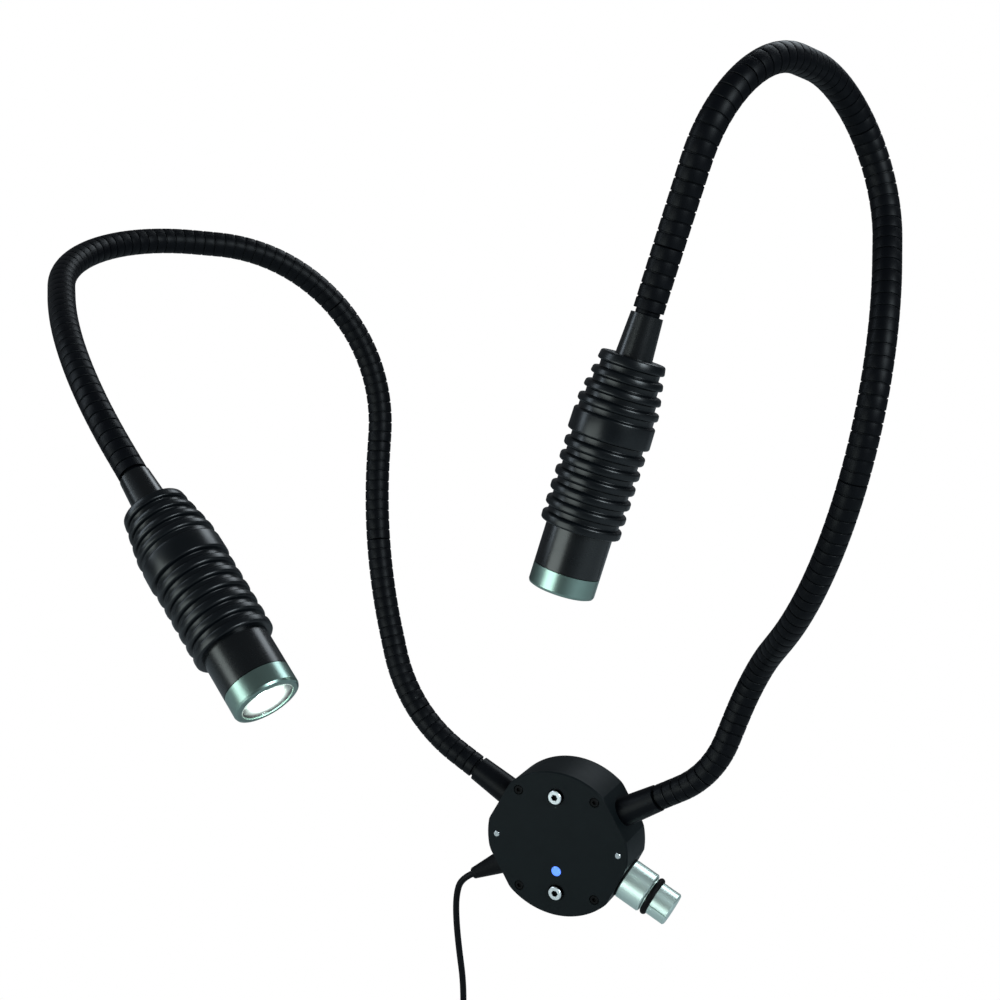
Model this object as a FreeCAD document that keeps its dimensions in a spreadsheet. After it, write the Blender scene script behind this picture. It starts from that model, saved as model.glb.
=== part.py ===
import FreeCAD, Part
import math
import os
import re

import Sketcher

# Twin gooseneck lamp. Millimetres, +Z up, +Y into the post that carries it.
# The origin is the centre of the housing's back face, between the two mounting screws.

Vec = FreeCAD.Vector

# Driving sizes, one row of the sheet each
SIZES = {
    # round housing
    "housing_dia": 75.0,
    "body_depth": 22.0,
    "plate_thick": 3.0,
    "flat_deep": 2.0,
    "flat_width": 30.0,
    "side_wall": 8.5,
    "back_wall": 4.0,
    "edge_break": 0.6,
    "port_angle": 30.0,
    "dimmer_angle": 27.0,
    "port_play": 0.05,
    "seat_gap": 0.2,
    "seat_dia": 19.0,
    # screws and pins of the face
    "mount_spacing": 50.0,
    "mount_screw_dia": 4.0,
    "mount_thread_dia": 3.9,
    "mount_screw_length": 35.0,
    "mount_head_dia": 7.0,
    "mount_head_deep": 4.0,
    "mount_head_proud": 2.0,
    "mount_post_dia": 11.0,
    "screw_play": 0.15,
    "head_play": 0.75,
    "socket_deep": 2.0,
    "mount_socket_wide": 3.0,
    "cover_screw_inset": 5.2,
    "cover_screw_angle": 51.3,
    "cover_screw_dia": 2.5,
    "cover_screw_length": 9.0,
    "cover_head_dia": 4.5,
    "cover_head_deep": 2.0,
    "cover_head_play": 0.3,
    "cover_socket_wide": 2.0,
    "cover_socket_deep": 1.2,
    "pin_inset": 5.0,
    "pin_dia": 3.0,
    "pin_length": 9.0,
    "pin_proud": 0.2,
    # indicator and board
    "indicator_dia": 5.0,
    "indicator_drop": 14.0,
    "indicator_proud": 0.6,
    "indicator_flange": 6.8,
    "indicator_flange_thick": 1.5,
    "indicator_play": 0.05,
    "board_margin": 1.5,
    "board_thick": 1.6,
    "board_level": 11.0,
    "pillar_dia": 6.0,
    "pillar_inset": 4.0,
    "board_screw_dia": 2.0,
    "board_screw_length": 6.0,
    "board_head_dia": 3.8,
    "board_head_deep": 1.6,
    # dimmer
    "gasket_thick": 0.6,
    "collar_dia": 20.5,
    "collar_length": 13.2,
    "bush_dia": 8.8,
    "bush_length": 14.0,
    "shaft_dia": 6.0,
    "shaft_play": 0.05,
    "pot_dia": 16.0,
    "pot_length": 8.0,
    "knob_dia": 17.0,
    "knob_length": 13.8,
    "knob_gap": 0.3,
    "knob_skirt": 0.4,
    "knob_wall": 4.0,
    "ring_dia": 20.0,
    "ring_thick": 3.2,
    "mark_width": 0.8,
    "mark_deep": 0.5,
    # strain relief
    "relief_length": 24.0,
    "relief_base_dia": 13.0,
    "relief_mid_dia": 10.3,
    "relief_mid_length": 10.0,
    "relief_end_dia": 6.0,
    "relief_port_dia": 8.0,
    "nut_thick": 4.0,
    "relief_nut_wide": 12.0,
    # supply lead
    "lead_dia": 3.4,
    "lead_first_run": 8.9,
    "coil_turns": 3.0,
    "coil_layers": 4.0,
    "coil_mean_dia": 38.0,
    "coil_step": 3.9,
    "coil_entry_radius": 11.0,
    "tie_width": 9.0,
    "tie_shift": 2.25,
    "tie_wall": 1.2,
    "tie_round": 1.9,
    "tie_play": 0.4,
    "plug_body_dia": 9.6,
    "plug_body_length": 22.0,
    "plug_sleeve_length": 14.0,
    "plug_sleeve_dia": 5.4,
    "plug_barrel_dia": 5.5,
    "plug_barrel_length": 9.5,
    "plug_bore_dia": 2.1,
    # goosenecks
    "neck_dia": 12.5,
    "neck_groove": 0.45,
    "rib_pitch": 8.7,
    "rib_step": 0.7,
    "neck_bore": 8.0,
    "wire_bore": 6.0,
    "end_straight": 6.0,
    "neck_end_straight": 12.5,
    "bend_gap": 1.9,
    "ball_dia": 10.0,
    "ball_play": 0.05,
    "ball_nose": 2.6,
    "cup_floor": 3.9,
    "port_dia": 10.0,
    "sleeve_length": 21.0,
    "sleeve_base_dia": 14.5,
    "sleeve_end_dia": 13.0,
    "neck_nut_wide": 14.0,
    # lamp head, measured from the end of the neck
    "ferrule_length": 18.0,
    "ferrule_start_dia": 13.0,
    "ferrule_end_dia": 15.0,
    "grip_length": 70.6,
    "grip_top_dia": 26.0,
    "grip_shoulder": 19.4,
    "grip_shoulder_dia": 33.0,
    "band_start": 23.9,
    "band_end": 33.2,
    "band_dia": 33.5,
    "grip_end_dia": 32.6,
    "groove_dia": 29.0,
    "groove_floor": 2.0,
    "groove_width": 2.8,
    "first_groove_width": 3.3,
    "lower_pitch": 6.1,
    "lower_grooves": 5.0,
    "upper_groove_deep": 1.7,
    "upper_pitch": 5.85,
    "upper_grooves": 4.0,
    "upper_first": 4.3,
    "barrel_start": 22.0,
    "barrel_top": 3.0,
    "barrel_dia": 27.2,
    "barrel_hidden_dia": 25.2,
    "barrel_bore": 22.4,
    "barrel_length": 17.2,
    "barrel_neck_dia": 24.8,
    "barrel_neck": 2.6,
    "head_groove": 0.3,
    "bezel_length": 8.6,
    "bezel_round": 1.2,
    "bezel_lip": 0.8,
    "window_dia": 21.8,
    "lens_dia": 23.2,
    "lens_thick": 2.6,
    "lens_dome": 0.5,
    "seal_width": 1.6,
    "led_board_thick": 1.6,
    "led_dia": 4.6,
    "led_height": 2.4,
    "led_top_dia": 3.2,
    "led_shoulder": 2.0,
    "led_count": 6.0,
    "led_circle": 13.4,
    "led_depth": 7.0,
    "sink_length": 34.0,
    "sink_core_dia": 12.0,
    "sink_fins": 5.0,
    "fin_thick": 2.0,
    "sink_plate": 6.0,
    "sink_play": 0.05,
}

# Each neck as stretches of even curve: length, bend in degrees, roll of the bend's plane in degrees
NECKS = {
    "right": [
        (53.0, 43.7, 251.7),
        (54.7, 50.4, 124.5),
        (200.5, 80.5, 193.1),
        (106.3, 112.2, 129.9),
        (87.2, 90.6, 328.0),
        (54.6, 5.3, 143.0),
    ],
    "left": [
        (82.0, 40.6, 113.8),
        (104.5, 18.1, 344.0),
        (156.0, 93.1, 231.4),
        (119.5, 85.0, 55.1),
        (128.0, 32.1, 323.8),
    ],
}

# The supply lead's points below the strain relief, across and up, in the plane of the ports
LEAD_POINTS = [(-62.3, -44.0), (-62.6, -57.0), (-61.2, -74.0), (-59.0, -91.0), (-59.0, -108.0)]

# The points of the lead below its coil, from the end of the last turn
TAIL_POINTS = [(0.0, 0.0, 0.0), (0.0, 0.0, -9.0), (1.2, 0.0, -22.0), (3.6, -0.5, -36.0), (3.6, -0.5, -48.0)]

# Chips on the board, in its plane: middle across and up, width, height, thickness
CHIPS = [
    (-7.0, -2.0, 7.0, 7.0, 4.0),
    (4.0, 3.0, 9.0, 5.0, 5.0),
    (6.0, -7.0, 4.0, 3.0, 2.0),
    (-4.0, 7.0, 4.0, 3.0, 2.0),
]

# The round capacitor beside them: middle across and up, radius, height
CAPACITOR = (-1.0, -1.0, 2.5, 6.0)

# Distances that several pieces share, from the sizes above
FLAT = "(housing_dia / 2 - flat_deep)"
CAVITY = "(housing_dia / 2 - side_wall)"
SEAT = "(housing_dia / 2 - side_wall + seat_gap)"
SCREW_CIRCLE = "(housing_dia / 2 - cover_screw_inset)"
PIN_CIRCLE = "(housing_dia / 2 - pin_inset)"
BY_POSTS = "(mount_spacing - mount_post_dia) / 2"
BY_POT = "housing_dia / 2 - side_wall + seat_gap - pot_length"
BOARD = "(min(%s; %s) - board_margin)" % (BY_POSTS, BY_POT)
PILLARS = "(%s - pillar_inset)" % BOARD
PILLAR_ANGLES = (90, 210, 330)

doc = FreeCAD.newDocument("gooseneck_lamp")
sheet = doc.addObject("Spreadsheet::Sheet", "dims")


def fill_sheet():
    rows = dict(SIZES)
    for side, stretches in NECKS.items():
        for number, (length, bend, roll) in enumerate(stretches, 1):
            rows["%s_length_%d" % (side, number)] = length
            rows["%s_bend_%d" % (side, number)] = bend
            rows["%s_roll_%d" % (side, number)] = roll
    for row, (name, value) in enumerate(rows.items(), 1):
        sheet.set("A%d" % row, name)
        sheet.set("B%d" % row, str(value))
        sheet.setAlias("B%d" % row, name)
    doc.recompute()
    return rows


ROWS = fill_sheet()


def size(name):
    return float(sheet.get(name))


def half(name):
    return size(name) / 2


def flat():
    return half("housing_dia") - size("flat_deep")


def seat():
    return half("housing_dia") - size("side_wall") + size("seat_gap")


def board_radius():
    by_posts = half("mount_spacing") - half("mount_post_dia")
    return min(by_posts, seat() - size("pot_length")) - size("board_margin")


def bound(text):
    """An expression in the sheet's names, written for setExpression."""
    def full(found):
        word = found.group(0)
        return "dims." + word if word in ROWS else word

    return re.sub(r"[a-z][a-z_0-9]*", full, text)


def bind(thing, prop, text):
    thing.setExpression(prop, bound(text))


# Frames: face pieces look out of the wall, port pieces look out along their port
def face_frame(x=0.0, up=0.0, out=0.0):
    turn = FreeCAD.Rotation(Vec(1, 0, 0), Vec(0, 0, 1), Vec(0, -1, 0), "ZXY")
    return FreeCAD.Placement(Vec(x, -out, up), turn)


def middle():
    return (size("body_depth") + size("plate_thick")) / 2


def port_frame(angle):
    a = math.radians(angle)
    out = Vec(math.cos(a), 0, math.sin(a))
    turn = FreeCAD.Rotation(Vec(0, -1, 0), out.cross(Vec(0, -1, 0)), out, "ZXY")
    return FreeCAD.Placement(Vec(0, -middle(), 0), turn)


PORTS = {
    "right": size("port_angle"),
    "left": 180 - size("port_angle"),
    "relief": 180 + size("port_angle"),
    "dimmer": -size("dimmer_angle"),
}


# Sketches and bodies
def plane(body, role):
    for feature in body.Origin.OriginFeatures:
        if feature.Role == role:
            return feature
    raise ValueError(role)


def new_body(label):
    body = doc.addObject("PartDesign::Body", label)
    body.Label = label
    return body


def new_sketch(body, name, role="XY_Plane", level=None):
    sketch = body.newObject("Sketcher::SketchObject", name)
    sketch.AttachmentSupport = [(plane(body, role), "")]
    sketch.MapMode = "FlatFace"
    if level is not None:
        bind(sketch, "AttachmentOffset.Base.z", level)
    return sketch


def place_point(sketch, geometry, end, right, up):
    """Ties one point of a sketch to expressions for its two coordinates."""
    for kind, text in (("DistanceX", right), ("DistanceY", up)):
        index = sketch.addConstraint(Sketcher.Constraint(kind, -1, 1, geometry, end, 1.0))
        name = "%s%d" % (kind[-1].lower(), index)
        sketch.renameConstraint(index, name)
        bind(sketch, "Constraints." + name, text)


def turned(label, outline, frame=None):
    """A turned piece: a closed half outline of radius and height, turned about its own Z axis."""
    body = new_body(label)
    sketch = new_sketch(body, label + "_outline", "XZ_Plane")
    corners = [Vec(9 + math.cos(a), 9 + math.sin(a), 0) for a in steps(len(outline))]
    for k in range(len(outline)):
        sketch.addGeometry(Part.LineSegment(corners[k], corners[(k + 1) % len(corners)]), False)
    for k, (radius, height) in enumerate(outline):
        sketch.addConstraint(Sketcher.Constraint("Coincident", (k - 1) % len(outline), 2, k, 1))
        place_point(sketch, k, 1, radius, height)
    turn = body.newObject("PartDesign::Revolution", label + "_turn")
    turn.Profile = sketch
    turn.ReferenceAxis = (sketch, ["V_Axis"])
    turn.Angle = 360
    body.Placement = frame or FreeCAD.Placement()
    return body


def steps(count):
    return [2 * math.pi * k / count for k in range(count)]


def feature(body, kind, sizes, place, frame=None):
    """A round, square or six-sided feature in a body: its sizes and place are bound to the sheet."""
    piece = body.newObject("PartDesign::" + kind, body.Label + "_feature")
    for prop, text in sizes.items():
        bind(piece, prop, text)
    if frame:
        piece.Placement = frame
    for axis, text in zip("xyz", place or ()):
        bind(piece, "Placement.Base." + axis, text)
    return piece


def hole(body, diameter, length, place=None, frame=None):
    return feature(body, "SubtractiveCylinder", {"Radius": diameter + " / 2", "Height": length}, place, frame)


def boss(body, diameter, length, place=None, frame=None):
    return feature(body, "AdditiveCylinder", {"Radius": diameter + " / 2", "Height": length}, place, frame)


def socket(body, wide, deep, place):
    sides = {"Circumradius": wide + " / sqrt(3)", "Height": deep}
    cut = feature(body, "SubtractivePrism", sides, place)
    cut.Polygon = 6
    return cut


def radial(angle, start):
    """A frame in the face's own axes, its Z axis running outwards at an angle from a starting radius."""
    a = math.radians(angle)
    out = Vec(math.cos(a), math.sin(a), 0)
    turn = FreeCAD.Rotation(out.cross(Vec(0, 0, 1)), Vec(0, 0, 1), out, "ZYX")
    return FreeCAD.Placement(out * start + Vec(0, 0, middle()), turn)


def group(label, one, frames):
    """Identical fasteners: separate solids in one node, copied from one modelled piece."""
    doc.recompute()
    shapes = []
    for frame in frames:
        copy = one.Shape.copy()
        copy.Placement = frame
        shapes.append(copy)
    node = doc.addObject("Part::Feature", label)
    node.Label = label
    node.Shape = Part.makeCompound(shapes)
    return node


def solid_node(label, shape):
    node = doc.addObject("Part::Feature", label)
    node.Label = label
    node.Shape = shape
    return node


# Pieces of the housing
def cut_flats(body, level, deep):
    for angle in PORTS.values():
        a = math.radians(angle)
        out = Vec(math.cos(a), math.sin(a), 0)
        side = Vec(-math.sin(a), math.cos(a), 0)
        turn = FreeCAD.Rotation(out, side, Vec(0, 0, 1), "XZY")
        base = out * flat() - side * half("flat_width") + Vec(0, 0, size(level) if level else 0)
        sizes = {"Length": "housing_dia / 2", "Width": "flat_width", "Height": deep}
        feature(body, "SubtractiveBox", sizes, None, FreeCAD.Placement(base, turn))


def face_places(x, up, level):
    return [(x, up, level), (x, "-" + up, level)]


def corner_places(level):
    across = SCREW_CIRCLE + " * cos(cover_screw_angle)"
    up = SCREW_CIRCLE + " * sin(cover_screw_angle)"
    return [(sx + across, sy + up, level) for sx in ("", "-") for sy in ("", "-")]


def pillar_places(level):
    return [("%s * cos(%s)" % (PILLARS, a), "%s * sin(%s)" % (PILLARS, a), level) for a in PILLAR_ANGLES]


def make_housing():
    body = turned(
        "housing_body",
        [
            ("0", "0"),
            ("housing_dia / 2 - edge_break", "0"),
            ("housing_dia / 2", "edge_break"),
            ("housing_dia / 2", "body_depth"),
            (CAVITY, "body_depth"),
            (CAVITY, "back_wall"),
            ("0", "back_wall"),
        ],
        face_frame(),
    )
    for place in face_places("0", "mount_spacing / 2", "back_wall"):
        boss(body, "mount_post_dia", "body_depth - back_wall", place)
    for place in pillar_places("back_wall"):
        boss(body, "pillar_dia", "board_level - back_wall", place)
        hole(body, "board_screw_dia", "board_level - back_wall", place)
    for name, angle in PORTS.items():
        diameter = {"relief": "relief_port_dia", "dimmer": "bush_dia"}.get(name, "port_dia")
        hole(body, "(%s + 2 * port_play)" % diameter, "housing_dia / 2", frame=radial(angle, seat()))
        inner = seat() - size("nut_thick") - size("seat_gap")
        hole(body, "seat_dia", "nut_thick + seat_gap", frame=radial(angle, inner))
    cut_flats(body, None, "body_depth")
    for x, up, level in face_places("0", "mount_spacing / 2", "0"):
        hole(body, "(mount_screw_dia + 2 * screw_play)", "body_depth", (x, up, level))
    for place in corner_places("body_depth + plate_thick - cover_head_deep - cover_screw_length"):
        hole(body, "cover_screw_dia", "cover_screw_length", place)
    for x in ("", "-"):
        foot = "body_depth + plate_thick + pin_proud - pin_length"
        hole(body, "pin_dia", "pin_length", (x + PIN_CIRCLE, "0", foot))


def make_face_plate():
    body = turned(
        "face_plate",
        [
            ("0", "body_depth"),
            ("housing_dia / 2", "body_depth"),
            ("housing_dia / 2", "body_depth + plate_thick - edge_break"),
            ("housing_dia / 2 - edge_break", "body_depth + plate_thick"),
            ("0", "body_depth + plate_thick"),
        ],
        face_frame(),
    )
    cut_flats(body, "body_depth", "plate_thick")
    for place in face_places("0", "mount_spacing / 2", "body_depth"):
        hole(body, "(mount_screw_dia + 2 * screw_play)", "plate_thick", place)
    under_head = "body_depth + plate_thick + mount_head_proud - mount_head_deep"
    for place in face_places("0", "mount_spacing / 2", under_head):
        hole(body, "(mount_head_dia + 2 * head_play)", "plate_thick", place)
    for place in corner_places("body_depth"):
        hole(body, "cover_screw_dia", "plate_thick", place)
    for place in corner_places("body_depth + plate_thick - cover_head_deep"):
        hole(body, "(cover_head_dia + 2 * cover_head_play)", "plate_thick", place)
    for x in ("", "-"):
        hole(body, "pin_dia", "plate_thick", (x + PIN_CIRCLE, "0", "body_depth"))
    place = ("0", "-indicator_drop", "body_depth")
    hole(body, "(indicator_dia + 2 * indicator_play)", "plate_thick", place)


def screw(label, diameter, length, head, deep, wide, key, thread=None, threaded=None):
    """One socket head screw, tip at its origin. A thinner thread runs a given length from the tip."""
    end = thread or diameter
    step = [(end + " / 2", threaded), (diameter + " / 2", threaded)] if thread else []
    body = turned(
        label,
        [
            ("0", "0"),
            (end + " / 2 - edge_break / 2", "0"),
            (end + " / 2", "edge_break / 2"),
            *step,
            (diameter + " / 2", length),
            (head + " / 2", length),
            (head + " / 2", length + " + " + deep + " - edge_break / 2"),
            (head + " / 2 - edge_break / 2", length + " + " + deep),
            ("0", length + " + " + deep),
        ],
    )
    socket(body, wide, key, ("0", "0", length + " + " + deep + " - " + key))
    return body


def make_fasteners():
    top = size("body_depth") + size("plate_thick")
    one = screw(
        "mounting_screw_one", "mount_screw_dia", "mount_screw_length", "mount_head_dia",
        "mount_head_deep", "mount_socket_wide", "socket_deep", "mount_thread_dia",
        "mount_screw_length + mount_head_deep - mount_head_proud - body_depth - plate_thick",
    )
    tip = top + size("mount_head_proud") - size("mount_head_deep") - size("mount_screw_length")
    rows = [face_frame(0, up * half("mount_spacing"), tip) for up in (1, -1)]
    group("mounting_screws", one, rows)
    one = screw(
        "cover_screw_one", "cover_screw_dia", "cover_screw_length", "cover_head_dia",
        "cover_head_deep", "cover_socket_wide", "cover_socket_deep",
    )
    tip = top - size("cover_head_deep") - size("cover_screw_length")
    reach = half("housing_dia") - size("cover_screw_inset")
    slant = math.radians(size("cover_screw_angle"))
    rows = [
        face_frame(x * reach * math.cos(slant), up * reach * math.sin(slant), tip)
        for x in (1, -1)
        for up in (1, -1)
    ]
    group("cover_screws", one, rows)
    one = turned(
        "plate_pin_one",
        [
            ("0", "0"),
            ("pin_dia / 2", "0"),
            ("pin_dia / 2", "pin_length - pin_proud"),
            ("pin_dia / 2 - pin_proud", "pin_length"),
            ("0", "pin_length"),
        ],
    )
    tip = top + size("pin_proud") - size("pin_length")
    reach = half("housing_dia") - size("pin_inset")
    group("plate_pins", one, [face_frame(x * reach, 0, tip) for x in (1, -1)])
    one = screw(
        "board_screw_one", "board_screw_dia", "board_screw_length", "board_head_dia",
        "board_head_deep", "cover_socket_wide", "cover_socket_deep / 2",
    )
    tip = size("board_level") + size("board_thick") - size("board_screw_length")
    reach = board_radius() - size("pillar_inset")
    rows = [
        face_frame(reach * math.cos(math.radians(a)), reach * math.sin(math.radians(a)), tip)
        for a in PILLAR_ANGLES
    ]
    group("board_screws", one, rows)


def make_electronics():
    board = turned(
        "circuit_board",
        [("0", "0"), (BOARD, "0"), (BOARD, "board_thick"), ("0", "board_thick")],
        face_frame(out=size("board_level")),
    )
    for place in pillar_places("0"):
        hole(board, "board_screw_dia", "board_thick", place)
    level = size("board_level") + size("board_thick")
    lens_back = "body_depth - indicator_flange_thick"
    turned(
        "indicator_led",
        [
            ("0", "board_level + board_thick"),
            ("indicator_dia / 2", "board_level + board_thick"),
            ("indicator_dia / 2", lens_back + " - edge_break"),
            ("indicator_dia / 2 - edge_break", lens_back),
            ("0", lens_back),
        ],
        face_frame(up=-size("indicator_drop")),
    )
    turned(
        "indicator_lens",
        [
            ("0", lens_back),
            ("indicator_flange / 2", lens_back),
            ("indicator_flange / 2", "body_depth"),
            ("indicator_dia / 2", "body_depth"),
            ("indicator_dia / 2", "body_depth + plate_thick"),
            ("indicator_dia / 2 - indicator_proud", "body_depth + plate_thick + indicator_proud"),
            ("0", "body_depth + plate_thick + indicator_proud"),
        ],
        face_frame(up=-size("indicator_drop")),
    )
    parts = []
    for x, up, wide, tall, high in CHIPS:
        chip = Part.makeBox(wide, tall, high, Vec(x - wide / 2, up - tall / 2, 0))
        chip.Placement = face_frame(out=level).multiply(chip.Placement)
        parts.append(chip)
    x, up, radius, high = CAPACITOR
    can = Part.makeCylinder(radius, high, Vec(x, up, 0))
    can.Placement = face_frame(out=level).multiply(can.Placement)
    solid_node("board_parts", Part.makeCompound(parts + [can]))


def make_dimmer():
    frame = port_frame(PORTS["dimmer"])
    collar = FLAT + " + gasket_thick"
    face = collar + " + collar_length"
    turned(
        "dimmer_gasket",
        [
            ("bush_dia / 2", FLAT),
            ("collar_dia / 2", FLAT),
            ("collar_dia / 2", collar),
            ("bush_dia / 2", collar),
        ],
        frame,
    )
    turned(
        "dimmer_collar",
        [
            ("bush_dia / 2", collar),
            ("collar_dia / 2 - edge_break", collar),
            ("collar_dia / 2", collar + " + edge_break"),
            ("collar_dia / 2", face + " - edge_break"),
            ("collar_dia / 2 - edge_break", face),
            ("shaft_dia / 2 + shaft_play", face),
            ("shaft_dia / 2 + shaft_play", SEAT + " + bush_length"),
            ("bush_dia / 2", SEAT + " + bush_length"),
        ],
        frame,
    )
    turned(
        "potentiometer",
        [
            ("0", SEAT + " - pot_length"),
            ("pot_dia / 2", SEAT + " - pot_length"),
            ("pot_dia / 2", SEAT),
            ("bush_dia / 2", SEAT),
            ("bush_dia / 2", SEAT + " + bush_length"),
            ("shaft_dia / 2 + shaft_play", SEAT + " + bush_length"),
            ("shaft_dia / 2 + shaft_play", SEAT + " - pot_length / 2 - knob_gap"),
            ("0", SEAT + " - pot_length / 2 - knob_gap"),
        ],
        frame,
    )
    low = face + " + knob_gap"
    high = face + " + knob_length"
    turned(
        "dimmer_shaft",
        [
            ("0", SEAT + " - pot_length / 2"),
            ("shaft_dia / 2", SEAT + " - pot_length / 2"),
            ("shaft_dia / 2", high + " - knob_wall"),
            ("0", high + " - knob_wall"),
        ],
        frame,
    )
    ring = "(ring_dia - ring_thick) / 2"
    knob = turned(
        "dimmer_knob",
        [
            ("shaft_dia / 2", low),
            ("knob_dia / 2", low),
            ("knob_dia / 2", low + " + knob_skirt"),
            (ring + " - ring_thick / 2", low + " + knob_skirt"),
            (ring + " - ring_thick / 2", low + " + knob_skirt + ring_thick"),
            ("knob_dia / 2", low + " + knob_skirt + ring_thick"),
            ("knob_dia / 2", high + " - edge_break"),
            ("knob_dia / 2 - edge_break", high),
            ("0", high),
            ("0", high + " - knob_wall"),
            ("shaft_dia / 2", high + " - knob_wall"),
        ],
        frame,
    )
    mark = {"Length": "mark_deep * 2", "Width": "mark_width", "Height": "knob_length"}
    place = ("knob_dia / 2 - mark_deep", "-mark_width / 2", low + " + knob_skirt + ring_thick")
    feature(knob, "SubtractiveBox", mark, place)
    body = new_body("knob_ring")
    torus = feature(
        body, "AdditiveTorus", {"Radius1": ring, "Radius2": "ring_thick / 2"},
        ("0", "0", low + " + knob_skirt + ring_thick / 2"),
    )
    torus.Angle3 = 360
    body.Placement = frame


def nut(label, wide, bore, frame, start, thick):
    body = new_body(label)
    sides = {"Circumradius": wide + " / sqrt(3)", "Height": thick}
    block = feature(body, "AdditivePrism", sides, ("0", "0", start))
    block.Polygon = 6
    hole(body, bore, thick, ("0", "0", start))
    body.Placement = frame


def make_relief():
    frame = port_frame(PORTS["relief"])
    foot = SEAT + " - nut_thick"
    end = FLAT + " + relief_length"
    turned(
        "strain_relief",
        [
            ("0", foot),
            ("relief_port_dia / 2", foot),
            ("relief_port_dia / 2", FLAT),
            ("relief_base_dia / 2", FLAT),
            ("relief_base_dia / 2", FLAT + " + edge_break"),
            ("relief_mid_dia / 2", FLAT + " + relief_mid_length"),
            ("relief_end_dia / 2", end),
            ("0", end),
        ],
        frame,
    )
    nut("relief_nut", "relief_nut_wide", "relief_port_dia", frame, foot, "nut_thick")


# Goosenecks
class Stretch:
    """One stretch of a neck: a straight end, an arc of even bend and a second straight end."""

    def __init__(self, start, along, aside, length, bend, first, last):
        self.start = start
        self.along = along
        self.aside = aside
        self.length = length
        self.bend = math.radians(bend)
        self.lead_in = first
        self.lead_out = last
        self.arc = length - first - last
        self.radius = self.arc / self.bend

    def across(self):
        return self.along.cross(self.aside)

    def at(self, distance):
        """Point and direction on the centre line, a distance from the stretch's start."""
        turned_by = min(max(distance - self.lead_in, 0), self.arc) / self.radius
        over = max(distance - self.lead_in - self.arc, 0)
        way = self.along * math.cos(turned_by) + self.aside * math.sin(turned_by)
        point = self.start + self.along * min(distance, self.lead_in)
        point = point + self.along * (self.radius * math.sin(turned_by))
        point = point + self.aside * (self.radius * (1 - math.cos(turned_by)))
        return point + way * over, way


def stretches(side):
    port = port_frame(PORTS[side])
    start = port.multVec(Vec(0, 0, flat() + size("sleeve_length")))
    along = port.Rotation.multVec(Vec(0, 0, 1))
    aside = Vec(0, -1, 0)
    count = len(NECKS[side])
    walked = []
    for number in range(1, count + 1):
        aside = FreeCAD.Rotation(along, size("%s_roll_%d" % (side, number))).multVec(aside)
        first = size("neck_end_straight") if number == 1 else size("end_straight")
        last = size("neck_end_straight") if number == count else size("end_straight")
        length = size("%s_length_%d" % (side, number))
        part = Stretch(start, along, aside, length, size("%s_bend_%d" % (side, number)), first, last)
        walked.append(part)
        start, along = part.at(length)
        aside = part.across().cross(along)
    return walked


def ring(centre, way, radius, steady):
    circle = Part.Circle()
    circle.Center = centre
    circle.Axis = way
    circle.Radius = radius
    circle.XAxis = steady
    return Part.Wire([circle.toShape()])


def zone(centre, way, radius, low, high):
    """The part of a ball between two levels along its axis."""
    angles = [math.degrees(math.asin(level / radius)) for level in (low, high)]
    return Part.makeSphere(radius, centre, way, angles[0], angles[1], 360)


def neck_shape(part):
    full = half("neck_dia")
    low = full - size("neck_groove")
    gap = half("bend_gap")
    ribs = max(1, round(part.arc / size("rib_pitch")))
    rows = [(gap, full)]
    for k in range(ribs + 1):
        foot = part.lead_in + part.arc * k / ribs
        rows += [(foot, low), (foot + size("rib_step"), full)]
    rows.append((part.length - gap, full))
    steady = part.across()
    shell = Part.makeLoft([ring(*part.at(d), r, steady) for d, r in rows], True, True)
    end, way = part.at(part.length)
    ball = zone(end, way, half("ball_dia"), -size("bend_gap"), size("ball_nose"))
    cup = half("ball_dia") + size("ball_play")
    start, along = part.start, part.along
    tools = [zone(start, along, cup, -size("bend_gap"), size("cup_floor"))]
    tools.append(Part.makeCylinder(half("wire_bore"), part.lead_in, start, along))
    tail = part.lead_out + size("ball_nose")
    tools.append(Part.makeCylinder(half("wire_bore"), tail, end - way * part.lead_out, way))
    arc_start = start + along * part.lead_in
    face = Part.Face(ring(arc_start, along, half("neck_bore"), steady))
    centre = arc_start + part.aside * part.radius
    tools.append(face.revolve(centre, steady, math.degrees(part.bend)))
    return shell.fuse(ball).cut(tools)


def make_neck(side):
    frame = port_frame(PORTS[side])
    foot = SEAT + " - nut_thick"
    end = FLAT + " + sleeve_length"
    sleeve = turned(
        side + "_neck_sleeve",
        [
            ("wire_bore / 2", foot),
            ("port_dia / 2", foot),
            ("port_dia / 2", FLAT),
            ("sleeve_base_dia / 2", FLAT),
            ("sleeve_end_dia / 2", end + " - bend_gap / 2"),
            ("wire_bore / 2", end + " - bend_gap / 2"),
        ],
        frame,
    )
    ball = feature(sleeve, "AdditiveSphere", {"Radius": "ball_dia / 2"}, ("0", "0", end))
    bind(ball, "Angle1", "-asin(2 * bend_gap / ball_dia)")
    bind(ball, "Angle2", "asin(2 * ball_nose / ball_dia)")
    hole(sleeve, "wire_bore", "2 * bend_gap + ball_nose", ("0", "0", end + " - 2 * bend_gap"))
    nut(side + "_neck_nut", "neck_nut_wide", "port_dia", frame, foot, "nut_thick")
    for number, part in enumerate(stretches(side), 1):
        solid_node("%s_neck_%d" % (side, number), neck_shape(part))


# Lamp heads
def head_frame(side):
    last = stretches(side)[-1]
    point, way = last.at(last.length)
    steady = last.across()
    return FreeCAD.Placement(point, FreeCAD.Rotation(steady, way.cross(steady), way, "ZXY"))


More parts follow.
